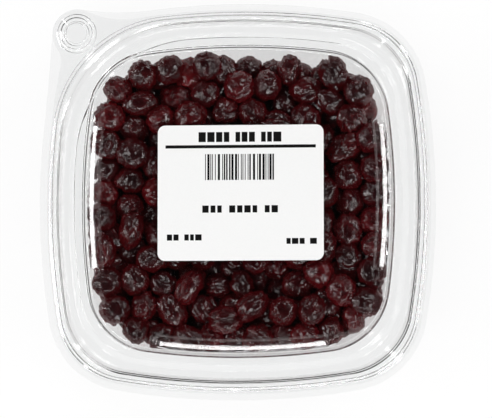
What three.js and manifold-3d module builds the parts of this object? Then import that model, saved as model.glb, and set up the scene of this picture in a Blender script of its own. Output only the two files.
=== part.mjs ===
// A shut square tub of clear plastic, filled with dried cranberries.
// Millimetres, +Z up. The origin is under the middle of the flange, on the surface that the tub stands on.
// The rim's button tab is at the corner between -X and +Y.

import * as THREE from "three";
import { mergeVertices } from "three/addons/utils/BufferGeometryUtils.js";
import Module from "manifold-3d";

const wasm = await Module();
wasm.setup();

// Driving dimensions of the pack
const WALL = 0.5;
const FLANGE_HALF = 71.75;
const FLANGE_CORNER = 30;
const RIM_SHIFT = 0.5; // the flange is trimmed a little off the middle of the rim
const SIDE_BOW = 262; // radius of a side of the flange, seen from above
const FLANGE_TOP = 35;
const LEDGE_TOP = 35.3;
const BEAD_TOP = 39.1;
const FLOOR_RISE = 1;
const LID_TOP = 40;
const RIDGE_TOP = 38.6;
const PANEL_TOP = 37.2;
const MOAT_TOP = 36.1;
const SKIRT_FOOT = 35.5;

// Driving dimensions of the corner tab and its button
const TAB = { x: -58.3, y: 61.4 };
const TAB_RADIUS = { lid: 9, flange: 9.2 };
const TAB_HOLLOWS = { lid: { back: 27, left: 9.2 }, flange: { back: 90, left: 900 } };
const TAB_UNDERSIDE = 35.75;
const TAB_PULL = 14; // the rim is this much rounder at the tab's corner
const BUTTON_RISE = 1.6;
const CAP_RISE = 0.7;
const STUD_RISE = 1.7;

// Driving dimensions of the stiffening ribs and the label
const RIB = { half: 51.9, foot: 4.4, top: 2.8, rise: 1.3 };
const RIBS = [
  { length: 55, turn: 0, along: 1.9 },
  { length: 55, turn: Math.PI, along: -1.9 },
  { length: 64, turn: -Math.PI / 2, along: 1.3 },
];
const LABEL = { x: 1.5, y: 2.9, width: 60, height: 49, corner: 2.7, thick: 0.2, gap: 0.1 };

// Driving dimensions of the fruit
const FRUIT = { length: 11.8, width: 10.4, depth: 8.2 };
const FRUIT_CLEAR = 0.4;
const FRUIT_CORE = { low: 4.4, high: 31.2, inset: 4.2, chamfer: 2.2 };
const TOP_LAYER = { half: 48.5, pitch: 10.7, height: 30.9, heave: 1.5 };
const FLOOR_LAYER = { half: 40, pitch: 14.5, height: 5.8, heave: 0 };
const WALL_ROWS = { heights: [8.5, 17, 25.5], inset: 4.4, corner: 22, pitch: 14.2, heave: 1.6 };

// How far joined sheets run into each other, and how far fruit that meets the wall moves back at a time
const JOIN = 0.5;
const BACK_STEP = 0.5;

// The root of a sheet that is joined to another lies this much lower, so that their faces cross cleanly
const ROOT_DROP = 0.08;

// Corners closer than this are one corner
const WELD = 0.002;

// How finely the round stretches are cut. The arcs of a drawn outline get twice their number of steps.
const SIDE_STEPS = 2;
const CORNER_STEPS = 5;
const CIRCLE_STEPS = 18;
const ARC_STEPS = 5;
const RIB_ARC_STEPS = 3;

// The tub's upper surface, from the middle of the floor out to the root of the flange.
// half: from the middle to a side. corner: radius in plan. pulled: made rounder at the tab's corner.
const TUB_PATH = [
  { half: 0, z: FLOOR_RISE + WALL, corner: 20 },
  { half: 39.4, z: FLOOR_RISE + WALL, corner: 20 },
  { half: 40.6, z: WALL, corner: 21 },
  { half: 45.4, z: WALL, corner: 22 },
  { half: 48, z: 1.5, corner: 24 },
  { half: 49.1, z: 4, corner: 25 },
  { half: 56.2, z: 34.4, corner: 27.5 },
  { half: 57.2, z: LEDGE_TOP, corner: 28 },
  { half: 64.3, z: LEDGE_TOP, corner: 26, pulled: true },
  { half: 65.55, z: 38.5, corner: 25.6, pulled: true },
  { half: 66.2, z: BEAD_TOP, corner: 25.4, pulled: true },
  { half: 67, z: BEAD_TOP, corner: 25.8, pulled: true },
  { half: 67.5, z: 38.6, corner: 26, pulled: true },
  { half: 67.75, z: 35.6, corner: 26.2, pulled: true },
  { half: 68.2, z: FLANGE_TOP - ROOT_DROP, corner: 26.5, pulled: true },
  { half: 69.2, z: FLANGE_TOP - ROOT_DROP, corner: 27, pulled: true },
];

// The lid's upper surface, from the middle of the panel out to the foot of the skirt.
const LID_PATH = [
  { half: 0, z: PANEL_TOP, corner: 27 },
  { half: 54.9, z: PANEL_TOP, corner: 27 },
  { half: 56.3, z: RIDGE_TOP, corner: 28 },
  { half: 59.3, z: RIDGE_TOP, corner: 27, pulled: true },
  { half: 61.5, z: MOAT_TOP, corner: 26.5, pulled: true },
  { half: 63.6, z: MOAT_TOP, corner: 25.8, pulled: true },
  { half: 64.9, z: 39.3, corner: 25.4, pulled: true },
  { half: 65.8, z: LID_TOP, corner: 25.2, pulled: true },
  { half: 67.5, z: LID_TOP, corner: 25.8, pulled: true },
  { half: 68.4, z: 39.2, corner: 26.4, pulled: true },
  { half: 68.8, z: 37, corner: 26.7, pulled: true },
  { half: 68.8, z: SKIRT_FOOT, corner: 26.7, pulled: true },
];

// The radii of the tab's button and of the stud under it, with their heights above the sheet around them.
const BUTTON_PATH = [
  { half: 0, z: BUTTON_RISE + CAP_RISE },
  { half: 3.4, z: BUTTON_RISE + CAP_RISE },
  { half: 4, z: BUTTON_RISE },
  { half: 5.9, z: BUTTON_RISE },
  { half: 7, z: -ROOT_DROP },
  { half: 7.6, z: -ROOT_DROP },
];
const STUD_PATH = [
  { half: 0, z: STUD_RISE },
  { half: 4.6, z: STUD_RISE },
  { half: 5.2, z: -ROOT_DROP },
  { half: 5.8, z: -ROOT_DROP },
];

// A repeatable stream of numbers from 0 to 1.
function seeded(seed) {
  let state = seed;
  return () => {
    state = (state + 0x6d2b79f5) | 0;
    let mixed = Math.imul(state ^ (state >>> 15), 1 | state);
    mixed = (mixed + Math.imul(mixed ^ (mixed >>> 7), 61 | mixed)) ^ mixed;
    return ((mixed ^ (mixed >>> 14)) >>> 0) / 2 ** 32;
  };
}

// Solids from triangles, and back

function solidOf(geometry) {
  const bare = geometry.clone();
  bare.deleteAttribute("uv");
  bare.deleteAttribute("normal");
  const merged = mergeVertices(bare, 1e-4);
  return new wasm.Manifold(
    new wasm.Mesh({
      numProp: 3,
      vertProperties: merged.attributes.position.array,
      triVerts: new Uint32Array(merged.index.array),
    }),
  );
}

// The mesh of a solid. Corners closer than WELD are made one, and triangles that this empties are dropped.
function meshOf(solid, name, material) {
  const { vertProperties, triVerts } = solid.getMesh();
  const raw = new THREE.BufferGeometry();
  raw.setAttribute("position", new THREE.BufferAttribute(vertProperties, 3));
  raw.setIndex(new THREE.BufferAttribute(triVerts, 1));
  const geometry = mergeVertices(raw, WELD);
  const corners = geometry.index.array;
  const kept = [];
  for (let i = 0; i < corners.length; i += 3) {
    const triangle = [...corners.slice(i, i + 3)];
    if (new Set(triangle).size === 3) {
      kept.push(...triangle);
    }
  }
  geometry.setIndex(kept);
  const mesh = new THREE.Mesh(geometry.toNonIndexed(), material);
  mesh.geometry.computeVertexNormals();
  mesh.name = name;
  return mesh;
}

// The largest body of a solid, with any hollow that is sealed inside it filled.
function filled(solid) {
  return solid.decompose().reduce((best, body) => (body.volume() > best.volume() ? body : best));
}

function middleOf(ring) {
  return ring.reduce((sum, point) => sum.add(point), new THREE.Vector3()).divideScalar(ring.length);
}

// A closed skin over rings of equally many points. A fan of triangles round a middle point closes each end.
function skin(rings, firstMiddle = middleOf(rings[0]), lastMiddle = middleOf(rings.at(-1))) {
  const count = rings[0].length;
  const points = [...rings.flat(), firstMiddle, lastMiddle];
  const indices = [];
  const first = rings.length * count;
  const lastRing = first - count;
  for (let j = 0; j < count; j++) {
    const next = (j + 1) % count;
    indices.push(first, j, next);
    indices.push(first + 1, lastRing + next, lastRing + j);
    for (let low = 0; low < lastRing; low += count) {
      const high = low + count;
      indices.push(low + j, high + j, high + next);
      indices.push(low + j, high + next, low + next);
    }
  }
  const geometry = new THREE.BufferGeometry().setFromPoints(points);
  geometry.setIndex(indices);
  return solidOf(geometry);
}

// Outlines in plan

// How far out in X and in Y a corner's arc is centred, so that it runs on smoothly from the bowed sides.
function cornerReach(half, corner, bow) {
  const inset = bow - half;
  return (Math.sqrt(2 * (bow - corner) ** 2 - inset ** 2) - inset) / 2;
}

// One level of the pack: a square with bowed sides and round corners, anticlockwise from the middle of +X.
function planRing({ half, z, corner, pulled = false }, shift = RIM_SHIFT) {
  const bow = SIDE_BOW - FLANGE_HALF + half;
  const up = new THREE.Vector3(0, 0, 1);
  const points = [];
  for (let quarter = 0; quarter < 4; quarter++) {
    const radius = corner + (pulled && quarter === 1 ? TAB_PULL : 0);
    const reach = cornerReach(half, radius, bow);
    const tangent = Math.atan2(reach, reach + bow - half);
    const add = (x, y) => {
      const point = new THREE.Vector3(x, y, z).applyAxisAngle(up, (quarter * Math.PI) / 2);
      points.push(point.setX(point.x + shift));
    };
    for (let i = 0; i < SIDE_STEPS; i++) {
      const angle = (tangent * i) / SIDE_STEPS;
      add(half - bow + bow * Math.cos(angle), bow * Math.sin(angle));
    }
    for (let i = 0; i < CORNER_STEPS; i++) {
      const angle = tangent + ((Math.PI / 2 - 2 * tangent) * i) / CORNER_STEPS;
      add(reach + radius * Math.cos(angle), reach + radius * Math.sin(angle));
    }
    for (let i = 0; i < SIDE_STEPS; i++) {
      const angle = Math.PI / 2 - tangent + (tangent * i) / SIDE_STEPS;
      add(bow * Math.cos(angle), half - bow + bow * Math.sin(angle));
    }
  }
  return points;
}

// The same level further in.
function inward(level, distance) {
  return { ...level, half: level.half - distance, corner: level.corner - distance };
}

// One level of a round piece on the tab's own axis.
function tabRing({ half, z }) {
  return Array.from({ length: CIRCLE_STEPS }, (_, i) => {
    const angle = (2 * Math.PI * i) / CIRCLE_STEPS;
    return new THREE.Vector3(TAB.x + half * Math.cos(angle), TAB.y + half * Math.sin(angle), z);
  });
}

// Formed sheet

// The underside of a sheet: its path moved by the sheet's thickness, square to each stretch.
function underside(path) {
  const normals = path.slice(1).map((end, i) => {
    const [across, up] = [end.half - path[i].half, end.z - path[i].z];
    return new THREE.Vector2(up, -across).normalize();
  });
  return path.map((point, i) => {
    const before = normals[Math.max(i - 1, 0)];
    const after = normals[Math.min(i, normals.length - 1)];
    const move = before.clone().add(after).multiplyScalar(WALL / (1 + before.dot(after)));
    return { ...point, half: point.half + move.x, z: point.z + move.y, corner: point.corner + move.x };
  });
}

// A sheet of even thickness that follows a path from its axis outwards.
function formed(path, ringAt) {
  const levels = [...path.slice(1), ...underside(path).slice(1).reverse()];
  return skin(levels.map((level) => ringAt(level)));
}

function formedOnTab(path, height) {
  const raised = path.map(({ half, z }) => ({ half, z: z + height }));
  return formed(raised, tabRing);
}

// A straight column over the outline of one level, as tall as the pack, for cutting.
function column(ringAt, level) {
  return skin([ringAt({ ...level, z: LID_TOP }), ringAt({ ...level, z: 0 })]);
}

function plate(shape, low, thick) {
  const geometry = new THREE.ExtrudeGeometry(shape, {
    depth: thick,
    bevelEnabled: false,
    curveSegments: ARC_STEPS,
  });
  return solidOf(geometry.translate(0, 0, low));
}

// The point at given distances from two others, on the left of the way from the first to the second.
function meetingPoint(from, fromRadius, to, toRadius) {
  const way = to.clone().sub(from);
  const span = way.length();
  const along = (fromRadius ** 2 - toRadius ** 2 + span ** 2) / (2 * span);
  const aside = Math.sqrt(fromRadius ** 2 - along ** 2);
  way.divideScalar(span);
  const left = new THREE.Vector2(-way.y, way.x);
  return from.clone().addScaledVector(way, along).addScaledVector(left, aside);
}

// The outline of a tab that grows out of two bowed sides, with a hollow curve on each flank.
function tabShape(half, shift, radius, hollow) {
  const bow = SIDE_BOW - FLANGE_HALF + half;
  const tab = new THREE.Vector2(TAB.x, TAB.y);
  const leftSide = new THREE.Vector2(shift + bow - half, 0);
  const backSide = new THREE.Vector2(shift, half - bow);
  const back = meetingPoint(tab, radius + hollow.back, backSide, bow + hollow.back);
  const left = meetingPoint(leftSide, bow + hollow.left, tab, radius + hollow.left);
  const heading = (from, to) => Math.atan2(to.y - from.y, to.x - from.x);
  const shape = new THREE.Shape();
  shape.moveTo(shift, half / 2);
  shape.absarc(back.x, back.y, hollow.back, heading(back, backSide), heading(back, tab), true);
  shape.absarc(tab.x, tab.y, radius, heading(tab, back), heading(tab, left), false);
  shape.absarc(left.x, left.y, hollow.left, heading(left, tab), heading(left, leftSide), true);
  shape.lineTo(shift - half / 2, 0);
  return shape;
}

// Parts of the pack

function flange() {
  const level = { half: FLANGE_HALF, z: FLANGE_TOP, corner: FLANGE_CORNER };
  const outline = new THREE.Shape(planRing(level, 0).map(({ x, y }) => new THREE.Vector2(x, y)));
  const corner = tabShape(FLANGE_HALF, 0, TAB_RADIUS.flange, TAB_HOLLOWS.flange);
  const mouth = column(planRing, inward(TUB_PATH.at(-1), JOIN));
  const studHole = column(tabRing, inward(STUD_PATH.at(-1), JOIN / 2));
  const sheet = plate(outline, FLANGE_TOP - WALL, WALL).add(plate(corner, FLANGE_TOP - WALL, WALL));
  return sheet.subtract(mouth).subtract(studHole).add(formedOnTab(STUD_PATH, FLANGE_TOP));
}

function tub() {
  return formed(TUB_PATH, planRing).add(flange());
}

// A point beside the +X side, moved along that side and turned to a rib's own side.
function besideSide({ turn, along }, x, y, z) {
  const point = new THREE.Vector3(x, y + along, z).applyAxisAngle(new THREE.Vector3(0, 0, 1), turn);
  return point.setX(point.x + RIM_SHIFT);
}

// The outline of a rib that follows the bow of its side and has round ends.
function ribRing(place, width, z) {
  const bow = SIDE_BOW - FLANGE_HALF + RIB.half;
  const middle = RIB.half - bow;
  const reach = (place.length - RIB.foot) / 2 / bow;
  const end = { x: middle + bow * Math.cos(reach), y: bow * Math.sin(reach) };
  const path = new THREE.Path();
  path.absarc(middle, 0, bow + width / 2, -reach, reach);
  path.absarc(end.x, end.y, width / 2, reach, reach + Math.PI);
  path.absarc(middle, 0, bow - width / 2, reach, -reach, true);
  path.absarc(end.x, -end.y, width / 2, Math.PI - reach, 2 * Math.PI - reach);
  const points = path.getPoints(RIB_ARC_STEPS);
  const apart = points.filter((point, i) => point.distanceTo(points.at(i - 1)) > 1e-3);
  return apart.map(({ x, y }) => besideSide(place, x, y, z));
}

// The solid between a rib's outline at its top and its wider outline at its foot.
function rib(place, narrower, low, high) {
  const top = ribRing(place, RIB.top - narrower, high);
  const foot = ribRing(place, RIB.foot - narrower, low);
  return skin([top, foot], besideSide(place, RIB.half, 0, high), besideSide(place, RIB.half, 0, low));
}

function tab() {
  const foot = LID_PATH.at(-1);
  const shape = tabShape(foot.half, RIM_SHIFT, TAB_RADIUS.lid, TAB_HOLLOWS.lid);
  const inside = column(planRing, inward(foot, WALL / 2));
  const buttonHole = column(tabRing, inward(BUTTON_PATH.at(-1), JOIN / 2));
  const button = formedOnTab(BUTTON_PATH, TAB_UNDERSIDE + WALL);
  return plate(shape, TAB_UNDERSIDE, WALL).subtract(inside).subtract(buttonHole).add(button);
}

function lid() {
  let sheet = formed(LID_PATH, planRing).add(tab());
  for (const place of RIBS) {
    const raised = rib(place, 0, PANEL_TOP - WALL / 2, PANEL_TOP + RIB.rise);
    const hollow = rib(place, 2 * WALL, PANEL_TOP - 2 * WALL, PANEL_TOP + RIB.rise - WALL);
    sheet = sheet.add(raised).subtract(hollow);
  }
  return sheet;
}

function label() {
  const { x, y, width, height, corner, thick, gap } = LABEL;
  const [left, low] = [x - width / 2, y - height / 2];
  const shape = new THREE.Shape();
  shape.absarc(left + width - corner, low + height - corner, corner, 0, Math.PI / 2);
  shape.absarc(left + corner, low + height - corner, corner, Math.PI / 2, Math.PI);
  shape.absarc(left + corner, low + corner, corner, Math.PI, 1.5 * Math.PI);
  shape.absarc(left + width - corner, low + corner, corner, 1.5 * Math.PI, 2 * Math.PI);
  return plate(shape, PANEL_TOP + gap, thick);
}

// The fruit: a plain core, with the pieces that show fused on it

// Half the width between the tub's walls at a height.
function innerHalf(z) {
  const [low, high] = [TUB_PATH[5], TUB_PATH[6]];
  return low.half + ((high.half - low.half) * (z - low.z)) / (high.z - low.z);
}

// The room inside the shut pack, less a small clearance.
function fruitSpace() {
  const [, floor, , , bend, wallFoot, wallTop] = TUB_PATH;
  const levels = [
    inward({ ...wallTop, z: PANEL_TOP - WALL - FRUIT_CLEAR }, 3 * FRUIT_CLEAR),
    inward({ ...wallTop, half: innerHalf(wallTop.z - 1), z: wallTop.z - 1 }, FRUIT_CLEAR),
    inward({ ...wallFoot, z: wallFoot.z + FRUIT_CLEAR }, FRUIT_CLEAR),
    inward({ ...bend, z: floor.z + FRUIT_CLEAR }, 2 * FRUIT_CLEAR),
  ];
  return skin(levels.map((level) => planRing(level)));
}

function fruitCore() {
  const { low, high, inset, chamfer } = FRUIT_CORE;
  const { corner } = TUB_PATH[5];
  const ringAt = (z, distance) => planRing(inward({ half: innerHalf(z), z, corner }, distance));
  return skin([
    ringAt(high, inset + chamfer),
    ringAt(high - chamfer, inset),
    ringAt(low + chamfer, inset),
    ringAt(low, inset + chamfer),
  ]);
}

// One piece of fruit: an uneven flattened ball whose short way is turned to face a direction.
// It is moved towards the middle of the fruit until it lies wholly inside the space.
function berry(place, facing, space, random) {
  const vary = () => 0.86 + 0.26 * random();
  const swing = () => 0.9 * (random() - 0.5);
  const geometry = new THREE.IcosahedronGeometry(0.53, 0);
  geometry.rotateX(Math.PI * random()).rotateZ(Math.PI * random());
  geometry.scale(FRUIT.length * vary(), FRUIT.depth * vary(), FRUIT.width * vary());
  geometry.rotateY(2 * Math.PI * random());
  const direction = new THREE.Vector3(swing(), swing(), swing()).add(facing).normalize();
  geometry.applyQuaternion(new THREE.Quaternion().setFromUnitVectors(new THREE.Vector3(0, 1, 0), direction));
  geometry.translate(place.x, place.y, place.z);
  const inwards = new THREE.Vector3(RIM_SHIFT, 0, FLANGE_TOP / 2).sub(place).setLength(BACK_STEP);
  let solid = solidOf(geometry);
  while (!solid.subtract(space).isEmpty()) {
    geometry.translate(inwards.x, inwards.y, inwards.z);
    solid = solidOf(geometry);
  }
  return solid;
}

// Places for a layer of fruit, in rows set over by half a piece, inside the pack's own rounded outline.
function layerPlaces({ half, pitch, height, heave }, random) {
  const places = [];
  const rowPitch = pitch * Math.sin(Math.PI / 3);
  const rows = Math.ceil(half / rowPitch);
  const stray = () => 0.35 * pitch * (random() - 0.5);
  const squareness = 3.4;
  for (let row = -rows; row <= rows; row++) {
    for (let column = -rows; column <= rows; column++) {
      const x = (column + (row % 2) / 2) * pitch + stray();
      const y = row * rowPitch + stray();
      if ((Math.abs(x) / half) ** squareness + (Math.abs(y) / half) ** squareness < 1) {
        places.push(new THREE.Vector3(x + RIM_SHIFT, y, height + heave * random()));
      }
    }
  }
  return places;
}

// Places for the rows of fruit that show through the wall, each row set over by half a piece.
function wallPlaces({ heights, inset, corner, pitch, heave }, random) {
  return heights.flatMap((height, row) => {
    const ring = planRing({ half: innerHalf(height) - inset, z: height, corner });
    const loop = new THREE.CatmullRomCurve3(ring, true, "chordal");
    const count = Math.round(loop.getLength() / pitch);
    return Array.from({ length: count }, (_, i) => {
      const along = (i + 0.5 * (row % 2) + 0.3 * random()) / count;
      const place = loop.getPointAt(along % 1);
      return place.setZ(height + heave * (random() - 0.5));
    });
  });
}

function berries() {
  const random = seeded(41);
  const space = fruitSpace();
  const up = new THREE.Vector3(0, 0, 1);
  const pieces = [fruitCore()];
  for (const place of layerPlaces(TOP_LAYER, random)) {
    pieces.push(berry(place, up, space, random));
  }
  for (const place of wallPlaces(WALL_ROWS, random)) {
    pieces.push(berry(place, place.clone().setZ(0).normalize(), space, random));
  }
  for (const place of layerPlaces(FLOOR_LAYER, random)) {
    pieces.push(berry(place, up.clone().negate(), space, random));
  }
  return filled(wasm.Manifold.union(pieces));
}

const clearPlastic = new THREE.MeshStandardMaterial({
  color: 0xf2f5f6,
  roughness: 0.06,
  metalness: 0,
  transparent: true,
  opacity: 0.3,
});
const paper = new THREE.MeshStandardMaterial({ color: 0xf4f4f4, roughness: 0.6, metalness: 0 });
const driedFruit = new THREE.MeshStandardMaterial({ color: 0x47151a, roughness: 0.38, metalness: 0 });

const pack = new THREE.Group();
pack.add(meshOf(tub(), "tub", clearPlastic));
pack.add(meshOf(lid(), "lid", clearPlastic));
pack.add(meshOf(label(), "label", paper));
pack.add(meshOf(berries(), "berries", driedFruit));

export default pack;
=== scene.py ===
"""A clear tub of dried cranberries with a press-fit lid and a paper label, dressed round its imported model.

The tub and the lid are thin formed sheets drawn out through much the same outlines as the solids. The label
is a paper plate with generic print, and the fruit is loose wrinkled berries shaken down until they rest.
"""

import logging
import math
from collections.abc import Sequence
from dataclasses import astuple, dataclass, field
from enum import Enum

import bmesh
import bpy
import numpy as np
from mathutils import Matrix, Vector


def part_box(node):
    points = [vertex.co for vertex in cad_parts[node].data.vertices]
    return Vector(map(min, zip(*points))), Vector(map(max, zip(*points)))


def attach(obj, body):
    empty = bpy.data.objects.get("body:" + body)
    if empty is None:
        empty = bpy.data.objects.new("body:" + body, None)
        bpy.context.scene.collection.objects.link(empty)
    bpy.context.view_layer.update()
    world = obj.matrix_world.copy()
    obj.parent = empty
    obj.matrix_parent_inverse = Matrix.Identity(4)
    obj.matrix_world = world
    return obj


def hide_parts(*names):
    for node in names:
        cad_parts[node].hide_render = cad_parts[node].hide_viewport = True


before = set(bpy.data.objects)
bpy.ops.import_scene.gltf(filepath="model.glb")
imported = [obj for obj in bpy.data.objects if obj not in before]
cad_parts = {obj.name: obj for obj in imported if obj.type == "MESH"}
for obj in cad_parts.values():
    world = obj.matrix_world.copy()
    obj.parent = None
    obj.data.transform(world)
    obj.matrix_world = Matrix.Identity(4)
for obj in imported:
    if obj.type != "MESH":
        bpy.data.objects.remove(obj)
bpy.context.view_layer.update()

LOG = logging.getLogger("tub")
MM = 0.001
BODY = "root"
SHARP_FOLD = math.radians(40)
Ring = list[Vector]
Loop = list[bmesh.types.BMVert]
Amount = float | np.ndarray
Colour = tuple[float, float, float]


# Outlines of the formed sheets


@dataclass(frozen=True)
class Level:
    """One level of a formed sheet's upper surface, in mm.

    half is how far the outline is from the middle at the middle of a side, and height is its place in Z.
    corner is the radius of its corners, pull is how much rounder the tab's corner is, and bend is the radius
    of the fold. On a circle, half is its radius.
    """

    half: float
    height: float
    corner: float
    pull: float = 0.0
    bend: float = 0.6


@dataclass(frozen=True)
class TabOutline:
    """The tear tab's outline: a round end with a hollow curve down to the rim on each flank, in mm."""

    radius: float
    back_hollow: float
    left_hollow: float
    centre: tuple[float, float] = (-58.3, 61.4)
    steps: int = 40


def heading(start: Vector, end: Vector) -> float:
    """Give the direction from one point to another, in radians."""
    return math.atan2(end.y - start.y, end.x - start.x)


def meeting_point(start: Vector, start_radius: float, end: Vector, end_radius: float) -> Vector:
    """Find where two circles meet, to the left of the way from the first middle to the second.

    Args:
        start: middle of the first circle.
        start_radius: its radius.
        end: middle of the second circle.
        end_radius: its radius.

    Returns:
        The point that lies on both.
    """
    way = end - start
    span = way.length
    along = (start_radius**2 - end_radius**2 + span**2) / (2 * span)
    aside = math.sqrt(start_radius**2 - along**2)
    way /= span
    return start + way * along + Vector((-way.y, way.x)) * aside


def spot_on(middle: Vector, radius: float, angle: float) -> Vector:
    """Give the point of a circle at an angle."""
    return middle + Vector((math.cos(angle), math.sin(angle))) * radius


def arc(middle: Vector, radius: float, start: float, stop: float, steps: int) -> list[Vector]:
    """Give points along an arc, without its last one.

    Args:
        middle: the arc's centre.
        radius: its radius.
        start: the angle where it starts.
        stop: the angle where it ends. An arc that ends at a smaller angle runs clockwise.
        steps: how many points it has.

    Returns:
        The points in order.
    """
    return [spot_on(middle, radius, start + (stop - start) * i / steps) for i in range(steps)]


def wound(start: float, stop: float, clockwise: bool) -> float:
    """Give the stop angle that is reached from the start angle by turning one way."""
    turn = (stop - start) % math.tau
    return start + (turn - math.tau if clockwise else turn)


@dataclass(frozen=True)
class Plan:
    """The pack's outline from above: a square with bowed sides and round corners, in mm.

    The arc of each side turns about a point that lies bow_middle beyond the pack's middle, on the far side.
    """

    bow_middle: float = 190.25
    shift: float = 0.5
    side_steps: int = 16
    corner_steps: int = 24
    tab_corner: int = 1

    def corner_reach(self, half: Amount, corner: Amount) -> Amount:
        """Find how far the middle of a corner's arc is from the pack's middle, in X and in Y alike.

        Args:
            half: half the outline's width.
            corner: the corner's radius.

        Returns:
            The distance.
        """
        room = self.bow_middle + half - corner
        return (np.sqrt(2 * room**2 - self.bow_middle**2) - self.bow_middle) / 2

    def outline(self, level: Level, tab: TabOutline | None, shift: float) -> list[Vector]:
        """Draw the outline at one level.

        Args:
            level: the level's half width and corner radius.
            tab: the tear tab that takes the place of its corner, if the outline has it.
            shift: how far the outline's middle is from the pack's, along X.

        Returns:
            The points in order, counterclockwise from the start of the +X side.
        """
        middle = Vector((shift, 0))
        bow = self.bow_middle + level.half
        corners = [level.corner + (level.pull if k == self.tab_corner else 0) for k in range(4)]
        reaches = [float(self.corner_reach(level.half, corner)) for corner in corners]
        leans = [math.atan2(reach, reach + self.bow_middle) for reach in reaches]
        points = []
        for k in range(4):
            quarter = k * math.pi / 2
            facing = Vector((math.cos(quarter), math.sin(quarter)))
            across = Vector((-facing.y, facing.x))
            start, stop = quarter - leans[k - 1], quarter + leans[k]
            bow_centre = middle - facing * self.bow_middle
            if tab and k == self.tab_corner:
                stop = heading(bow_centre, self.tab_hollow(middle, bow, tab, back=True))
            if tab and k == self.tab_corner + 1:
                start = wound(0, heading(bow_centre, self.tab_hollow(middle, bow, tab, back=False)), False)
            points += arc(bow_centre, bow, start, stop, self.side_steps)
            if tab and k == self.tab_corner:
                points += self.tab_arcs(middle, bow, tab)
            else:
                corner_centre = middle + (facing + across) * reaches[k]
                end = quarter + math.pi / 2 - leans[k]
                points += arc(corner_centre, corners[k], stop, end, self.corner_steps)
        return points

    def tab_hollow(self, middle: Vector, bow: float, tab: TabOutline, back: bool) -> Vector:
        """Find the centre of the hollow curve on one flank of the tab.

        Args:
            middle: the outline's middle.
            bow: the radius of its bowed sides.
            tab: the tear tab.
            back: whether it is the flank that runs down to the back side, or the one to the left side.

        Returns:
            The centre.
        """
        centre = Vector(tab.centre)
        if back:
            side = middle - Vector((0, self.bow_middle))
            return meeting_point(centre, tab.radius + tab.back_hollow, side, bow + tab.back_hollow)
        side = middle + Vector((self.bow_middle, 0))
        return meeting_point(side, bow + tab.left_hollow, centre, tab.radius + tab.left_hollow)

    def tab_arcs(self, middle: Vector, bow: float, tab: TabOutline) -> list[Vector]:
        """Draw the tab's outline: down one hollow flank, round its end and back down the other.

        Args:
            middle: the outline's middle.
            bow: the radius of its bowed sides.
            tab: the tear tab.

        Returns:
            The points in order.
        """
        centre = Vector(tab.centre)
        back = self.tab_hollow(middle, bow, tab, back=True)
        left = self.tab_hollow(middle, bow, tab, back=False)
        back_side = middle - Vector((0, self.bow_middle))
        left_side = middle + Vector((self.bow_middle, 0))
        into = heading(back, back_side)
        points = arc(back, tab.back_hollow, into, wound(into, heading(back, centre), True), tab.steps)
        end = heading(centre, back)
        points += arc(centre, tab.radius, end, wound(end, heading(centre, left), False), tab.steps)
        out = heading(left, centre)
        points += arc(left, tab.left_hollow, out, wound(out, heading(left, left_side), True), tab.steps)
        return points

    def ring(self, level: Level) -> Ring:
        """Give the outline at one level as points in metres."""
        return [Vector((p.x, p.y, level.height)) * MM for p in self.outline(level, None, self.shift)]

    def trimmed_ring(self, level: Level, tab: TabOutline, shift: float) -> Ring:
        """Give a sheet's trimmed edge, with the tab in place of its corner, as points in metres."""
        return [Vector((p.x, p.y, level.height)) * MM for p in self.outline(level, tab, shift)]


def rounded(path: Sequence[Level], steps: int = 5, longest: float = 0.45) -> list[Level]:
    """Round each fold of a path with a smooth curve of about its own radius.

    Args:
        path: the levels where the sheet folds.
        steps: how many pieces each curve has.
        longest: the largest share of a straight stretch that a curve may take up.

    Returns:
        The levels along the rounded path.
    """
    marks = [np.array(astuple(level)) for level in path]
    found = [marks[0]]
    for level, before, fold, after in zip(path[1:], marks, marks[1:], marks[2:]):
        back, on = before - fold, after - fold
        back_length, on_length = np.hypot(*back[:2]), np.hypot(*on[:2])
        cosine = np.clip(back[:2] @ on[:2] / back_length / on_length, -1, 1)
        reach = level.bend * math.tan((math.pi - math.acos(cosine)) / 2)
        start = fold + back * min(reach / back_length, longest)
        stop = fold + on * min(reach / on_length, longest)
        for t in np.linspace(0, 1, steps + 1):
            found.append((1 - t) ** 2 * start + 2 * t * (1 - t) * fold + t**2 * stop)
    found.append(marks[-1])
    return [Level(*values) for values in found]


# Mesh building


def placed_loop(bm: bmesh.types.BMesh, points: Ring, filled: bool = False) -> Loop:
    """Make a closed loop through some points.

    Args:
        bm: the mesh.
        points: where it runs.
        filled: whether a face closes it.

    Returns:
        The loop.
    """
    made = bmesh.ops.create_circle(bm, cap_ends=filled, segments=len(points), radius=1.0)
    for vert, point in zip(made["verts"], points):
        vert.co = point
    return made["verts"]


def loop_edges(loop: Loop) -> list[bmesh.types.BMEdge]:
    """Give the edges that join the neighbours of a closed loop.

    Args:
        loop: the loop.

    Returns:
        Its edges in order.
    """
    edges = []
    for here, there in zip(loop, [*loop[1:], loop[0]]):
        edges.append(next(edge for edge in here.link_edges if edge.other_vert(here) is there))
    return edges


def drawn_out(bm: bmesh.types.BMesh, loop: Loop, rings: Sequence[Ring]) -> Loop:
    """Extrude a closed loop through one ring after another.

    Args:
        bm: the mesh.
        loop: the loop to start from.
        rings: where its points go next, as many in each ring as the loop has.

    Returns:
        The last loop.
    """
    for ring in rings:
        made = bmesh.ops.extrude_edge_only(bm, edges=loop_edges(loop))["geom"]
        fresh = {item for item in made if isinstance(item, bmesh.types.BMVert)}
        loop = [next(e.other_vert(v) for e in v.link_edges if e.other_vert(v) in fresh) for v in loop]
        for vert, point in zip(loop, ring):
            vert.co = point
    return loop


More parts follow.
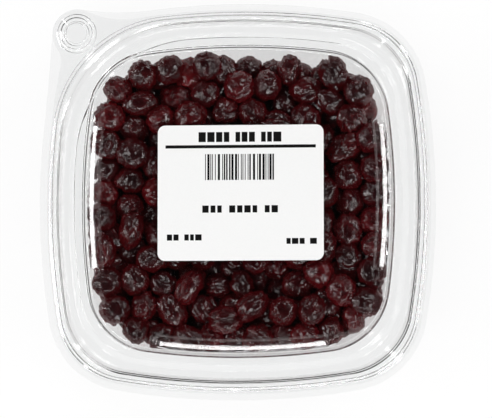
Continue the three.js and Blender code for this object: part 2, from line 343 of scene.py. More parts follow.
def flat_fill(bm: bmesh.types.BMesh, *loops: Loop) -> None:
    """Fill the level ground between an outer loop and the loops that lie in it."""
    edges = [edge for loop in loops for edge in loop_edges(loop)]
    bmesh.ops.triangle_fill(bm, use_beauty=True, use_dissolve=False, edges=edges, normal=(0, 0, 1))


def rectangle(bm: bmesh.types.BMesh, size: Sequence[float], middle: Sequence[float], height: float) -> None:
    """Lay a flat rectangle.

    Args:
        bm: the mesh.
        size: its size in X and in Y, in metres.
        middle: its middle in X and in Y.
        height: its place in Z.
    """
    made = bmesh.ops.create_grid(bm, x_segments=1, y_segments=1, size=0.5)["verts"]
    bmesh.ops.scale(bm, vec=(size[0], size[1], 1), verts=made)
    bmesh.ops.translate(bm, vec=(middle[0], middle[1], height), verts=made)


def raise_faces(bm: bmesh.types.BMesh, height: float) -> None:
    """Raise flat faces into closed plates.

    Args:
        bm: the mesh, with nothing but flat faces in it.
        height: how thick the plates become, in metres.
    """
    raised = bmesh.ops.extrude_face_region(bm, geom=list(bm.faces))["geom"]
    top = [item for item in raised if isinstance(item, bmesh.types.BMVert)]
    bmesh.ops.translate(bm, vec=(0, 0, height), verts=top)
    bmesh.ops.recalc_face_normals(bm, faces=bm.faces)


def named_object(name: str, bm: bmesh.types.BMesh) -> bpy.types.Object:
    """Turn a bmesh into an object at the origin, in the scene.

    Args:
        name: the object's name.
        bm: its mesh, which is freed.

    Returns:
        The object.
    """
    mesh = bpy.data.meshes.new(name)
    bm.to_mesh(mesh)
    bm.free()
    piece = bpy.data.objects.new(name, mesh)
    bpy.context.scene.collection.objects.link(piece)
    return piece


def shade_by_fold(piece: bpy.types.Object) -> None:
    """Shade a piece smoothly, apart from its sharp folds."""
    piece.data.shade_smooth()
    piece.data.set_sharp_from_angle(angle=SHARP_FOLD)


def thick_sheet(name: str, bm: bmesh.types.BMesh, thickness: float) -> bpy.types.Object:
    """Give an upward sheet its thickness, below the surface that it is drawn as.

    Args:
        name: the piece's name.
        bm: the upper surface, open at its trimmed edge.
        thickness: how thick the sheet is, in metres.

    Returns:
        The piece, with its thickness applied.
    """
    bmesh.ops.recalc_face_normals(bm, faces=bm.faces)
    if sum(face.normal.z * face.calc_area() for face in bm.faces) < 0:
        bmesh.ops.reverse_faces(bm, faces=bm.faces)
    piece = named_object(name, bm)
    shell = piece.modifiers.new("thickness", "SOLIDIFY")
    shell.thickness = thickness
    shell.offset = -1
    shell.use_quality_normals = True
    seen = piece.evaluated_get(bpy.context.evaluated_depsgraph_get())
    drawn = piece.data
    piece.data = bpy.data.meshes.new_from_object(seen)
    piece.modifiers.clear()
    bpy.data.meshes.remove(drawn)
    piece.data.name = name
    shade_by_fold(piece)
    return piece


def finished(piece: bpy.types.Object, material: bpy.types.Material, node: str) -> None:
    """Dress a piece, let it ride on the pack, and hide the solid that it takes the place of.

    Args:
        piece: the finished mesh.
        material: its finish.
        node: the solid that it replaces.
    """
    piece.data.materials.clear()
    piece.data.materials.append(material)
    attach(piece, BODY)
    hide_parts(node)
    LOG.info("%s: %d faces", piece.name, len(piece.data.polygons))


# Finishes

# What a node's input takes: another node's socket or a plain value
Feed = bpy.types.NodeSocket | float | Sequence[float]
FLOAT, COLOUR = "NodeSocketFloat", "NodeSocketColor"
# The places of a Mix node's sockets for colours, whose names are also those of its sockets for numbers
MIX_SHARE, MIX_FIRST, MIX_SECOND, MIX_RESULT = 0, 6, 7, 2
# The part of its range from 0 to 1 in which a noise texture mostly lies
NOISE_SPAN = (0.3, 0.7)


class Bench:
    """Adds nodes to one material or node group and joins them."""

    def __init__(self, tree: bpy.types.NodeTree) -> None:
        """Keep the tree that the nodes go into."""
        self.tree = tree

    def add(
        self, kind: str, inputs: dict[str | int, Feed] | None = None, **settings: object
    ) -> bpy.types.Node:
        """Add one node.

        Args:
            kind: the node's type.
            inputs: what its sockets take, by name or number.
            settings: the node's own properties.

        Returns:
            The node.
        """
        node = self.tree.nodes.new(kind)
        for name, value in settings.items():
            setattr(node, name, value)
        for name, value in (inputs or {}).items():
            if isinstance(value, bpy.types.NodeSocket):
                self.tree.links.new(value, node.inputs[name])
            else:
                node.inputs[name].default_value = value
        return node

    def sum(self, operation: str, *values: Feed, clamp: bool = False) -> bpy.types.NodeSocket:
        """Work out one number from others.

        Args:
            operation: the name of the sum.
            values: the numbers that go into it.
            clamp: whether the result is kept between 0 and 1.

        Returns:
            The result's socket.
        """
        node = self.add("ShaderNodeMath", dict(enumerate(values)), operation=operation, use_clamp=clamp)
        return node.outputs[0]

    def blend(self, share: Feed, first: Feed, second: Feed) -> bpy.types.NodeSocket:
        """Mix two colours.

        Args:
            share: how much of the second one shows.
            first: the colour at 0.
            second: the colour at 1.

        Returns:
            The mixed colour's socket.
        """
        inputs = {MIX_SHARE: share, MIX_FIRST: first, MIX_SECOND: second}
        return self.add("ShaderNodeMix", inputs, data_type="RGBA").outputs[MIX_RESULT]

    def stretched(
        self, value: Feed, given: tuple[float, float], wanted: tuple[float, float]
    ) -> bpy.types.NodeSocket:
        """Stretch or squeeze the range of a number.

        Args:
            value: the number.
            given: the ends of its range.
            wanted: what those ends become.

        Returns:
            The new number's socket.
        """
        inputs = {"Value": value, "From Min": given[0], "From Max": given[1]}
        inputs |= {"To Min": wanted[0], "To Max": wanted[1]}
        return self.add("ShaderNodeMapRange", inputs).outputs[0]


def new_material(name: str) -> tuple[bpy.types.Material, Bench]:
    """Make a material with no nodes.

    Args:
        name: the material's name.

    Returns:
        The material, and the bench that fills it.
    """
    material = bpy.data.materials.new(name)
    material.use_nodes = True
    material.node_tree.nodes.clear()
    return material, Bench(material.node_tree)


def new_group(name: str, inputs: dict[str, str], outputs: dict[str, str]) -> Bench:
    """Make an empty shader node group.

    Args:
        name: the group's name.
        inputs: the type of each input socket, by name.
        outputs: the type of each output socket, by name.

    Returns:
        The bench that fills it.
    """
    tree = bpy.data.node_groups.new(name, "ShaderNodeTree")
    for label, kind in inputs.items():
        tree.interface.new_socket(label, in_out="INPUT", socket_type=kind)
    for label, kind in outputs.items():
        tree.interface.new_socket(label, in_out="OUTPUT", socket_type=kind)
    return Bench(tree)


def unevenness_group() -> bpy.types.NodeTree:
    """Build the slow waves and fine grain that every formed or printed surface has.

    Returns:
        A group that takes how close its Waves and its Grain lie, and gives a Height and a Haze from 0 to 1.
    """
    bench = new_group("unevenness", {"Waves": FLOAT, "Grain": FLOAT}, {"Height": FLOAT, "Haze": FLOAT})
    given = bench.add("NodeGroupInput").outputs
    place = bench.add("ShaderNodeTexCoord").outputs["Object"]
    waves = bench.add("ShaderNodeTexNoise", {"Vector": place, "Scale": given["Waves"], "Detail": 1.5})
    grain = bench.add("ShaderNodeTexNoise", {"Vector": place, "Scale": given["Grain"], "Detail": 4.0})
    bench.add("NodeGroupOutput", {"Height": waves.outputs["Fac"], "Haze": grain.outputs["Fac"]})
    return bench.tree


def fruit_skin_group(
    blotches: float = 260.0,
    patchy: float = 0.9,
    crease_shade: float = 0.72,
    gloss: tuple[float, float] = (0.16, 0.28),
) -> bpy.types.NodeTree:
    """Build the look of wrinkled fruit skin from each berry's own shade, darkened with painted shade where
    its creases are deep.

    Args:
        blotches: how close the blotches lie.
        patchy: how far they change the shade.
        crease_shade: how dark the deepest creases are.
        gloss: the roughness from blotch to blotch.

    Returns:
        A group that takes a Deep and a Ripe colour, and gives a Color and a Roughness.
    """
    bench = new_group("fruit_skin", {"Deep": COLOUR, "Ripe": COLOUR}, {"Color": COLOUR, "Roughness": FLOAT})
    given = bench.add("NodeGroupInput").outputs
    place = bench.add("ShaderNodeTexCoord").outputs["Object"]
    shade = bench.add("ShaderNodeAttribute", attribute_name="shade").outputs["Fac"]
    crease = bench.add("ShaderNodeAttribute", attribute_name="crease").outputs["Fac"]
    noise = {"Vector": place, "Scale": blotches, "Detail": 3.0}
    blotch = bench.add("ShaderNodeTexNoise", noise).outputs["Fac"]
    tone = bench.sum("ADD", shade, bench.sum("MULTIPLY_ADD", blotch, patchy, -patchy / 2), clamp=True)
    skin = bench.blend(tone, given["Deep"], given["Ripe"])
    # Painted shade: the skin is darkened the deeper the point lies in a crease.
    hollow = bench.sum("MULTIPLY_ADD", crease, -crease_shade, 1.0, clamp=True)
    shaded = bench.add("ShaderNodeVectorMath", {0: skin, "Scale": hollow}, operation="SCALE")
    roughness = bench.stretched(blotch, NOISE_SPAN, gloss)
    bench.add("NodeGroupOutput", {"Color": shaded.outputs[0], "Roughness": roughness})
    return bench.tree


@dataclass(frozen=True)
class ClearSheet:
    """Clear formed plastic: colourless, glossy, with slow waves that bend its reflections a little.

    gleam_depth is how many clear surfaces a ray may have crossed and still meet this one as plastic on its
    way from a glossy surface. Past that it goes straight through.
    """

    name: str
    gleam_depth: float
    ior: float = 1.46
    colour: Colour = (0.997, 1.0, 1.0)
    passed_on: Colour = (0.98, 0.98, 0.98)
    haze: tuple[float, float] = (0.02, 0.07)
    waves: float = 70.0
    grain: float = 900.0
    wave_height: float = 0.00012

    def material(self, unevenness: bpy.types.NodeTree) -> bpy.types.Material:
        """Build the finish. Lamp light, and light on its way from the fruit, passes straight through it.

        Args:
            unevenness: the shared group of waves and grain.

        Returns:
            The material.
        """
        material, bench = new_material(self.name)
        sizes = {"Waves": self.waves, "Grain": self.grain}
        surface = bench.add("ShaderNodeGroup", sizes, node_tree=unevenness).outputs
        ripple = {"Height": surface["Height"], "Strength": 1.0, "Distance": self.wave_height}
        glass = bench.add(
            "ShaderNodeBsdfPrincipled",
            {
                "Base Color": (*self.colour, 1),
                "Roughness": bench.stretched(surface["Haze"], NOISE_SPAN, self.haze),
                "IOR": self.ior,
                "Transmission Weight": 1.0,
                "Normal": bench.add("ShaderNodeBump", ripple).outputs[0],
            },
        )
        clear = bench.add("ShaderNodeBsdfTransparent", {"Color": (*self.passed_on, 1)})
        ray = bench.add("ShaderNodeLightPath").outputs
        deep = bench.sum("GREATER_THAN", ray["Transmission Depth"], self.gleam_depth)
        gleam = bench.sum("MULTIPLY", ray["Is Glossy Ray"], deep)
        from_fruit = bench.sum("MAXIMUM", ray["Is Diffuse Ray"], gleam)
        straight = bench.sum("MAXIMUM", ray["Is Shadow Ray"], from_fruit)
        mixed = bench.add("ShaderNodeMixShader", {0: straight, 1: glass.outputs[0], 2: clear.outputs[0]})
        bench.add("ShaderNodeOutputMaterial", {"Surface": mixed.outputs[0]})
        return material


@dataclass(frozen=True)
class FruitSkin:
    """Sticky wrinkled skin of dried berries, from a deep tone to a ripe one, with a painted red glow where
    it turns away, standing in for light shining through its thin edges.
    """

    name: str
    deep: Colour
    ripe: Colour
    # Painted glow: the red of light shining through the thin edges, mixed in where the skin turns away.
    rim: Colour
    painted_glow_blend: float = 0.25
    ior: float = 1.45

    def material(self, skin_group: bpy.types.NodeTree) -> bpy.types.Material:
        """Build the finish.

        Args:
            skin_group: the group of the skin's colour and gloss.

        Returns:
            The material.
        """
        material, bench = new_material(self.name)
        colours = {"Deep": (*self.deep, 1), "Ripe": (*self.ripe, 1)}
        skin = bench.add("ShaderNodeGroup", colours, node_tree=skin_group).outputs
        # Painted glow at the edges, by how far the skin turns away from the view.
        edge = bench.add("ShaderNodeLayerWeight", {"Blend": self.painted_glow_blend}).outputs["Facing"]
        body = bench.add(
            "ShaderNodeBsdfPrincipled",
            {
                "Base Color": bench.blend(edge, skin["Color"], (*self.rim, 1)),
                "Roughness": skin["Roughness"],
                "IOR": self.ior,
            },
        )
        bench.add("ShaderNodeOutputMaterial", {"Surface": body.outputs[0]})
        return material


@dataclass(frozen=True)
class Paper:
    """Coated label paper, or the ink on it: a soft sheen over fine fibres."""

    name: str
    colour: Colour
    shadow: Colour
    gloss: tuple[float, float] = (0.42, 0.6)
    shine: float = 0.5
    waves: float = 120.0
    fibres: float = 2600.0
    fibre_relief: float = 0.5
    fibre_height: float = 0.00002

    def material(self, unevenness: bpy.types.NodeTree) -> bpy.types.Material:
        """Build the finish.

        Args:
            unevenness: the shared group of waves and grain.

        Returns:
            The material.
        """
        material, bench = new_material(self.name)
        sizes = {"Waves": self.waves, "Grain": self.fibres}
        fibre = bench.add("ShaderNodeGroup", sizes, node_tree=unevenness).outputs["Haze"]
        relief = {"Height": fibre, "Strength": self.fibre_relief, "Distance": self.fibre_height}
        sheet = bench.add(
            "ShaderNodeBsdfPrincipled",
            {
                "Base Color": bench.blend(fibre, (*self.shadow, 1), (*self.colour, 1)),
                "Roughness": bench.stretched(fibre, NOISE_SPAN, self.gloss),
                "Specular IOR Level": self.shine,
                "Normal": bench.add("ShaderNodeBump", relief).outputs[0],
            },
        )
        bench.add("ShaderNodeOutputMaterial", {"Surface": sheet.outputs[0]})
        return material


CLEAR_TUB = ClearSheet("clear_tub", gleam_depth=40)
CLEAR_LID = ClearSheet("clear_lid", gleam_depth=1.5)
LABEL_STOCK = Paper("label_stock", (0.9, 0.9, 0.895), (0.84, 0.84, 0.835))
LABEL_INK = Paper("label_ink", (0.002, 0.002, 0.002), (0.005, 0.005, 0.005), gloss=(0.6, 0.8), shine=0.1)
# The last colour is the painted red glow at the berries' edges.
BERRY_SKIN = FruitSkin("fruit_skin", (0.022, 0.0016, 0.0026), (0.15, 0.005, 0.008), (0.12, 0.003, 0.005))


# The tub and the lid


def disc(centre: tuple[float, float], level: Level, steps: int = 64) -> Ring:
    """Give the points of a level that is a circle, in metres."""
    points = arc(Vector(centre), level.half, 0, math.tau, steps)
    return [Vector((p.x, p.y, level.height)) * MM for p in points]


def boss(bm: bmesh.types.BMesh, rings: Sequence[Ring]) -> Loop:
    """Raise a boss from a sheet: rings from its foot to its top, closed over at the top.

    Args:
        bm: the mesh.
        rings: its outlines, foot first.

    Returns:
        The loop of its foot, which the sheet round it is filled to.
    """
    foot = placed_loop(bm, rings[0])
    top = drawn_out(bm, foot, rings[1:])
    flat_fill(bm, top)
    return foot


@dataclass
class Tub:
    """The lower sheet: raised floor, foot ring, flared wall, ledge, hollow rim bead and flange, in mm."""

    plan: Plan
    thickness: float = 0.5
    flange: Level = Level(71.75, 35.0, 30.0)
    flange_shift: float = 0.0
    tab: TabOutline = TabOutline(9.2, 90.0, 900.0)
    path: tuple[Level, ...] = (
        Level(39.4, 1.5, 20),
        Level(40.6, 0.5, 21, bend=1.0),
        Level(45.4, 0.5, 22, bend=1.6),
        Level(48.2, 1.6, 24, bend=2.2),
        Level(49.1, 4, 25, bend=4.0),
        Level(56.2, 34.4, 24, bend=1.6),
        Level(57.2, 35.3, 24.5, bend=1.2),
        Level(64.3, 35.3, 26, 18, bend=0.9),
        Level(65.55, 38.5, 25.6, 18, bend=1.2),
        Level(66.2, 39.1, 25.4, 18, bend=0.9),
        Level(67.0, 39.1, 25.8, 18, bend=0.9),
        Level(67.5, 38.6, 26, 18, bend=0.9),
        Level(67.8, 35.0, 26.3, 18, bend=0.5),
        Level(69.0, 35.0, 27, 18),
    )
    stud: tuple[Level, ...] = (
        Level(6.1, 35.0, 0),
        Level(5.6, 35.0, 0, bend=0.5),
        Level(4.6, 36.7, 0, bend=0.6),
        Level(3.6, 36.7, 0),
    )

    def build(self) -> bpy.types.Object:
        """Form the sheet from its floor outwards, then trim its flange round the tab's corner.

        Returns:
            The tub's piece.
        """
        bm = bmesh.new()
        levels = rounded(self.path)
        loop = placed_loop(bm, self.plan.ring(levels[0]), filled=True)
        loop = drawn_out(bm, loop, [self.plan.ring(level) for level in levels[1:]])
        edge = placed_loop(bm, self.plan.trimmed_ring(self.flange, self.tab, self.flange_shift))
        stud = boss(bm, [disc(self.tab.centre, level) for level in rounded(self.stud)])
        flat_fill(bm, edge, loop, stud)
        return thick_sheet("tub_sheet", bm, self.thickness * MM)


@dataclass(frozen=True)
class Rib:
    """One stiffening rib of the lid: its length along a side, the side's turn, and how far along it lies."""

    length: float
    turn: float
    along: float


@dataclass
class Lid:
    """The upper sheet: panel with three ribs, ridge, moat, ledge, rim, skirt and the tear tab, in mm."""

    plan: Plan
    thickness: float = 0.5
    tab: TabOutline = TabOutline(9.0, 27.0, 9.2)
    edge: Level = Level(69.5, 36.25, 27.2)
    panel_top: float = 37.2
    rib_half: float = 51.9
    ribs: tuple[Rib, ...] = (Rib(55, 0, 1.9), Rib(55, math.pi, -1.9), Rib(64, -math.pi / 2, 1.3))
    rib_lean: float = 0.35
    rib_path: tuple[Level, ...] = (
        Level(2.45, 0, 0),
        Level(2.05, 0, 0, bend=0.3),
        Level(0.75, 0.9, 0, bend=0.3),
        Level(0.25, 0.9, 0),
    )
    path: tuple[Level, ...] = (
        Level(54.2, 37.2, 23.5),
        Level(54.9, 37.2, 23.5, bend=0.8),
        Level(56.3, 38.6, 24.5, bend=0.8),
        Level(59.3, 38.6, 25.5, 18, bend=0.8),
        Level(61.5, 36.1, 26.5, 18, bend=0.6),
        Level(63.6, 36.1, 25.8, 18, bend=0.6),
        Level(64.9, 39.3, 25.4, 18, bend=1.0),
        Level(65.8, 40, 25.2, 18, bend=0.9),
        Level(67.5, 40, 25.8, 18, bend=0.9),
        Level(68.4, 39.2, 26.4, 18, bend=0.9),
        Level(68.75, 36.25, 26.7, 18, bend=0.4),
        Level(69.1, 36.25, 26.9, 18),
    )
    button: tuple[Level, ...] = (
        Level(7.75, 36.25, 0),
        Level(7.6, 36.25, 0, bend=0.2),
        Level(7.2, 36.85, 0, bend=0.3),
        Level(6.4, 36.85, 0, bend=0.3),
        Level(5.9, 37.85, 0, bend=0.4),
        Level(4.4, 37.85, 0, bend=0.4),
        Level(3.9, 38.55, 0, bend=0.4),
        Level(2.8, 38.55, 0),
    )
    arc_steps: int = 48
    end_steps: int = 12

    def rib_ring(self, rib: Rib, level: Level) -> Ring:
        """Draw a rib's outline: two arcs that follow the side's bow, joined by round ends.

        Args:
            rib: which rib.
            level: half its width there, and how high it is above the panel.

        Returns:
            The points in metres.
        """
        lean = self.rib_lean * level.height / self.rib_path[-1].height
        bow = self.plan.bow_middle + self.rib_half - lean
        bow_centre = Vector((-self.plan.bow_middle, 0))
        reach = (rib.length / 2 - self.rib_path[1].half) / bow
        far, near = (spot_on(bow_centre, bow, side * reach) for side in (1, -1))
        points = arc(bow_centre, bow + level.half, -reach, reach, self.arc_steps)
        points += arc(far, level.half, reach, reach + math.pi, self.end_steps)
        points += arc(bow_centre, bow - level.half, reach, -reach, self.arc_steps)
        points += arc(near, level.half, math.pi - reach, math.tau - reach, self.end_steps)
        turned = [Matrix.Rotation(rib.turn, 2) @ (p + Vector((0, rib.along))) for p in points]
        return [Vector((p.x + self.plan.shift, p.y, self.panel_top + level.height)) * MM for p in turned]

    def build(self) -> bpy.types.Object:
        """Form the panel with its ribs, draw the sheet out over the rim, and trim it round the tab.

        Returns:
            The lid's piece.
        """
        bm = bmesh.new()
        levels = rounded(self.path)
        panel = placed_loop(bm, self.plan.ring(levels[0]))
        rises = rounded(self.rib_path)
        feet = [boss(bm, [self.rib_ring(rib, level) for level in rises]) for rib in self.ribs]
        flat_fill(bm, panel, *feet)
        loop = drawn_out(bm, panel, [self.plan.ring(level) for level in levels[1:]])
        edge = placed_loop(bm, self.plan.trimmed_ring(self.edge, self.tab, self.plan.shift))
        button = boss(bm, [disc(self.tab.centre, level) for level in rounded(self.button)])
        flat_fill(bm, edge, loop, button)
        return thick_sheet("lid_sheet", bm, self.thickness * MM)


# The label


@dataclass(frozen=True)
class PrintRow:
    """A row of printed blocks, placed in mm from the label's middle.

    groups is how many blocks each group has, wide is a block's mean width, and gap is the space after it.
    """

    groups: tuple[int, ...]
    left: float
    low: float
    high: float
    wide: float
    gap: float


@dataclass(frozen=True)
class BarField:
    """A field of upright bars, placed in mm from the label's middle, with the widths and gaps in it."""

    left: float = -12.8
    right: float = 12.0
    low: float = 4.6
    high: float = 14.0
    widths: tuple[float, ...] = (0.3, 0.3, 0.55, 0.8)
    gaps: tuple[float, ...] = (0.3, 0.3, 0.5, 0.75)


@dataclass
class Label:
    """A paper label with round corners, and plain blocks and bars as its print, in mm."""

    corner: float = 2.7
    corner_steps: int = 10
    print_lift: float = 0.004
    print_thick: float = 0.01
    seed: int = 5
    heading: PrintRow = PrintRow((4, 3, 3), -15.2, 18.4, 22.0, 2.3, 0.55)
    rule: tuple[float, float, float, float] = (-27.2, 27.2, 16.15, 17.3)
    bars: BarField = BarField()
    rows: tuple[PrintRow, ...] = (
        PrintRow((3, 4, 2), -13.8, -7.2, -4.6, 2.0, 0.7),
        PrintRow((2, 3), -26.6, -17.2, -15.0, 1.9, 0.5),
        PrintRow((3, 1), 16.6, -18.6, -16.5, 2.0, 0.45),
    )
    width_range: tuple[float, float] = (0.7, 1.25)
    word_gaps: float = 2.2
    word_space: float = 0.5
    box_low: Vector = field(default_factory=lambda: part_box("label")[0])
    box_high: Vector = field(default_factory=lambda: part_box("label")[1])

    def build_plate(self) -> bpy.types.Object:
        """Cut the label, round its corners and give it the paper's thickness.

        Returns:
            The label's piece.
        """
        bm = bmesh.new()
        size, middle = self.box_high - self.box_low, (self.box_high + self.box_low) / 2
        rectangle(bm, size, middle, self.box_low.z)
        bmesh.ops.bevel(
            bm,
            geom=list(bm.verts),
            offset=self.corner * MM,
            segments=self.corner_steps,
            profile=0.5,
            affect="VERTICES",
            material=-1,
        )
        raise_faces(bm, size.z)
        piece = named_object("label_paper", bm)
        shade_by_fold(piece)
        return piece

    def block(self, bm: bmesh.types.BMesh, left: float, right: float, low: float, high: float) -> None:
        """Print one block, placed in mm from the label's middle.

        Args:
            bm: the print's mesh.
            left: where it starts in X.
            right: where it ends in X.
            low: where it starts in Y.
            high: where it ends in Y.
        """
        middle = (self.box_high + self.box_low) / 2
        place = ((left + right) / 2 * MM + middle.x, (low + high) / 2 * MM + middle.y)
        size = ((right - left) * MM, (high - low) * MM)
        rectangle(bm, size, place, self.box_high.z + self.print_lift * MM)

    def print_row(self, bm: bmesh.types.BMesh, row: PrintRow, random: np.random.Generator) -> None:
        """Print a row, each block a little wider or narrower than the next.

        Args:
            bm: the print's mesh.
            row: the row.
            random: the seeded source of widths.
        """
        left = row.left
        for number in row.groups:
            for _ in range(number):
                step = row.wide * random.uniform(*self.width_range)
                self.block(bm, left, left + step, row.low, row.high)
                left += step + row.gap
            left += self.word_gaps * row.gap + self.word_space

    def build_print(self) -> bpy.types.Object:
        """Print a heading, a rule, a field of bars and three small rows.

        Returns:
            The print's piece.
        """
        random = np.random.default_rng(self.seed)
        bm = bmesh.new()
        self.print_row(bm, self.heading, random)
        self.block(bm, *self.rule)
        left = self.bars.left
        while left < self.bars.right:
            wide = random.choice(self.bars.widths)
            self.block(bm, left, left + wide, self.bars.low, self.bars.high)
            left += wide + random.choice(self.bars.gaps)
        for row in self.rows:
            self.print_row(bm, row, random)
        raise_faces(bm, self.print_thick * MM)
        return named_object("label_print", bm)


# The fruit


class Kind(Enum):
    """The kinds of berry in the tub."""

    DARK = "dark"
    RED = "red"
    LONG = "long"
    FOLDED = "folded"


@dataclass(frozen=True)
class Habit:
    """How a kind of berry is.

    share is how common it is, length and width are against a round berry's, fold is how deep its folds are
    against its radius, and shade is how ripe its colour is, from 0 to 1.
    """

    share: float
    length: float
    width: float
    fold: float
    shade: float


HABITS = {
    Kind.DARK: Habit(0.42, 1.02, 0.96, 0.05, 0.12),
    Kind.RED: Habit(0.14, 1.0, 0.97, 0.04, 0.55),
    Kind.LONG: Habit(0.2, 1.2, 0.84, 0.07, 0.25),
    Kind.FOLDED: Habit(0.24, 1.05, 0.92, 0.2, 0.2),
}


@dataclass(frozen=True)
class Creases:
    """One set of creases over a ball of radius 1: how close they lie, how deep they are and how wide."""

    pace: float
    deep: float
    wide: float


@dataclass(frozen=True)
class Drying:
    """How a round berry shrinks and creases as it dries, on a ball of radius 1."""

    flatness: float = 0.78
    swell: float = 1.16
    warp: float = 0.22
    warp_pace: float = 3.1
    fold_pace: float = 2.2
    fold_wide: float = 0.14
    wrinkles: tuple[Creases, ...] = (
        Creases(7.0, 0.07, 0.3),
        Creases(15.0, 0.1, 0.36),
        Creases(23.0, 0.04, 0.4),
    )
    wave_count: int = 5
    wave_lean: tuple[float, float, float] = (0.6, 1.0, 1.0)
    deepest: float = 0.2
    length_range: tuple[float, float] = (0.94, 1.06)
    width_range: tuple[float, float] = (0.93, 1.05)
    height_range: tuple[float, float] = (0.92, 1.12)
    sag: float = 0.12
    tilt: float = 20.0
    tilt_axis: tuple[float, float, float] = (math.cos(1.0), math.sin(1.0), 0)

    def shrunk(
        self, ball: np.ndarray, habit: Habit, random: np.random.Generator
    ) -> tuple[np.ndarray, np.ndarray]:
        """Shrink and crease one berry.

        The creases lie where random waves over the ball cross zero: a few deep folds, then finer wrinkles.

        Args:
            ball: points on a ball of radius 1.
            habit: the kind's shape.
            random: the seeded source of the waves.

        Returns:
            The points, and how deep in a crease each one lies, from 0 to 1.
        """
        size, depth = np.ones(len(ball)), np.zeros(len(ball))
        lag = random.uniform(0, math.tau, 3)
        warped = ball + self.warp * np.sin(ball[:, [1, 2, 0]] * self.warp_pace + lag)
        for creases in (Creases(self.fold_pace, habit.fold, self.fold_wide), *self.wrinkles):
            ways = random.normal(size=(self.wave_count, 3)) * self.wave_lean
            ways *= creases.pace / np.linalg.norm(ways, axis=1)[:, None]
            waves = np.sin(warped @ ways.T + random.uniform(0, math.tau, self.wave_count)).mean(axis=1)
            valley = creases.deep * np.exp(-((waves / creases.wide) ** 2))
            size -= valley
            depth += valley
        length = habit.length * random.uniform(*self.length_range)
        width = habit.width * random.uniform(*self.width_range)
        height = self.flatness * random.uniform(*self.height_range)
        points = ball * size[:, None] * (length, width, height)
        points[:, 2] += self.sag * (points[:, 0] ** 2) * random.uniform(-1, 1)
        return points * self.swell, np.clip(depth / self.deepest, 0, 1)

    def turn(self, random: np.random.Generator) -> np.ndarray:
        """Give one berry's turn: any way round, and tipped a little out of level.

        Args:
            random: the seeded source of the angles.

        Returns:
            The rotation, as three rows.
        """
        tip = Matrix.Rotation(math.radians(random.normal(0, self.tilt)), 3, self.tilt_axis)
        spin = Matrix.Rotation(random.uniform(0, math.tau), 3, "Z")
        first = Matrix.Rotation(random.uniform(0, math.tau), 3, "Z")
        return np.array(spin @ tip @ first)


@dataclass(frozen=True)
class Bed:
    """The berries where they came to rest: each one's middle, its radius seen from above, and its kind."""

    place: np.ndarray
    radius: np.ndarray
    kinds: np.ndarray


@dataclass(frozen=True)
class Core:
    """The lumpy heap that stands for the berries that nothing shows of, painted dark with crease shade all
    over, in mm.
    """

    half_width: float = 43.0
    half_height: float = 9.0
    middle: float = 13.0
    squareness: float = 0.8
    lump: float = 0.6
    lump_waves: tuple[tuple[float, float, float], ...] = ((31, 7, 0), (-5, 29, 0), (0, 0, 23))
    # Painted shade: the whole core counts as deep in a crease, so the skin darkens it.
    crease: float = 0.9
    fineness: int = 5

    def build(self) -> bpy.types.Object:
        """Swell a ball to a rounded block and make it lumpy.

        Returns:
            The core's piece.
        """
        bm = bmesh.new()
        crease = bm.verts.layers.float.new("crease")
        for vert in bmesh.ops.create_icosphere(bm, subdivisions=self.fineness, radius=1.0)["verts"]:
            lump = self.lump * math.prod(math.sin(vert.co.dot(wave)) for wave in self.lump_waves)
            square = max(abs(part) for part in vert.co) ** self.squareness
            stretch = Vector((self.half_width, self.half_width, self.half_height)) / square
            vert.co = (vert.co * stretch + Vector((lump, lump, lump + self.middle))) * MM
            # Painted shade over the whole core, through the crease attribute.
            vert[crease] = self.crease
        bmesh.ops.recalc_face_normals(bm, faces=bm.faces)
        piece = named_object("fruit_core", bm)
        piece.data.shade_smooth()
        return piece


